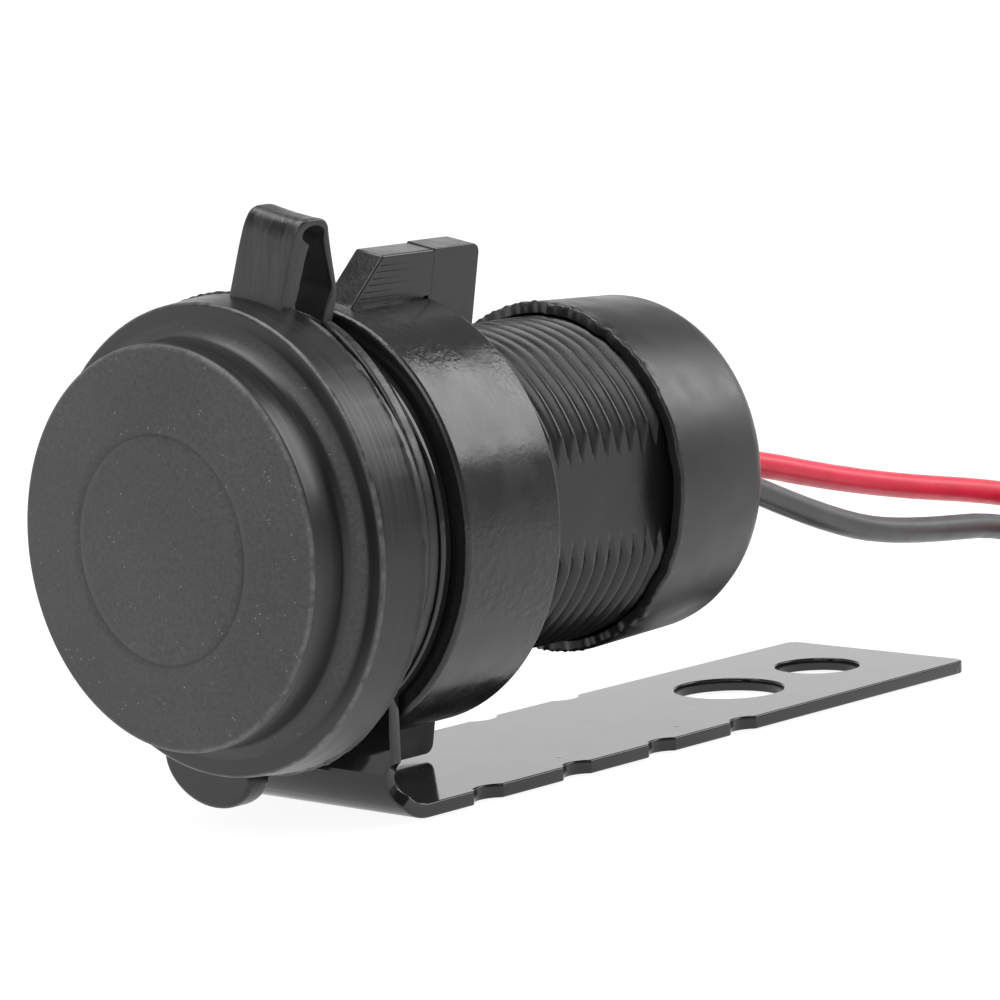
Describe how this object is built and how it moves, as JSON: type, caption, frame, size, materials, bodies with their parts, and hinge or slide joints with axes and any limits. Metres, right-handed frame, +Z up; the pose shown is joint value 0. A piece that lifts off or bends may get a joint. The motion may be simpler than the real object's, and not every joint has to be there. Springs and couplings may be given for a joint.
{
  "type": "usb charging socket",
  "caption": "Round twin-port USB charging socket with a hinged rubber dust cap, threaded barrel, wing nut, rear boot, wire leads and a folded strip bracket.",
  "frame": {"origin": "centre of the large foot hole, on the foot's underside", "axes": "+Z up, square to the foot; +Y along the socket's axis from the cap to the wires; +X across the strip"},
  "size_m": [0.0498, 0.1575, 0.0507],
  "materials": {
    "cap_rubber": "matte, fine moulded grain",
    "barrel_plastic": "satin moulded thread",
    "nut_plastic": "semi-gloss, slightly pitted",
    "bracket_paint": "gloss black paint",
    "boot_rubber": "satin outside, matte cut rim",
    "face_plastic": "fine grain",
    "shell_steel": "tinned steel",
    "core_plastic": "white moulded insulator",
    "contact_brass": "gold flashed",
    "board_green": "solder mask",
    "lamp_lens": "clear moulded lens",
    "ferrite": "sintered",
    "copper": "enamelled copper winding",
    "can_aluminium": "drawn can",
    "chip_plastic": "moulded package",
    "solder": "solder",
    "red_lead": "soft red lead insulation",
    "black_lead": "soft black lead insulation",
    "tie_plastic": "plastic tie"
  },
  "bodies": {
    "socket": {"socket_body": "barrel_plastic", "mounting_bracket": "bracket_paint", "cap_tether": "cap_rubber", "rear_boot": "boot_rubber", "face_plate": "face_plastic", "usb_shell_upper": "shell_steel", "usb_shell_lower": "shell_steel", "usb_core_upper": "core_plastic", "usb_core_lower": "core_plastic", "usb_contacts_upper": "contact_brass", "usb_contacts_lower": "contact_brass", "front_board": "board_green", "indicator_lamp": "lamp_lens", "light_pipe": "lamp_lens", "converter_board": "board_green", "choke_drum": "ferrite", "choke_winding": "copper", "input_capacitor": "can_aluminium", "output_capacitor": "can_aluminium", "regulator_chip": "chip_plastic", "diode": "chip_plastic", "solder_joints": "solder", "red_wire": "red_lead", "black_wire": "black_lead", "red_coil": "red_lead", "black_coil": "black_lead", "lead_tie": "tie_plastic"},
    "cap": {"dust_cap": "cap_rubber", "hinge_loop": "cap_rubber"},
    "nut": {"wing_nut": "nut_plastic"}
  },
  "joints": [
    {"name": "cap_hinge", "type": "hinge", "parent": "socket", "child": "cap", "pos_m": [0.00459, -0.0597, 0.04878], "axis": [-0.9833, 0, 0.1822], "range_deg": [0, 110], "deforming": ["hinge_loop"]},
    {"name": "nut_turn", "type": "hinge", "parent": "socket", "child": "nut", "pos_m": [0, -0.0567, 0.024], "axis": [0, 1, 0], "continuous": true}
  ]
}
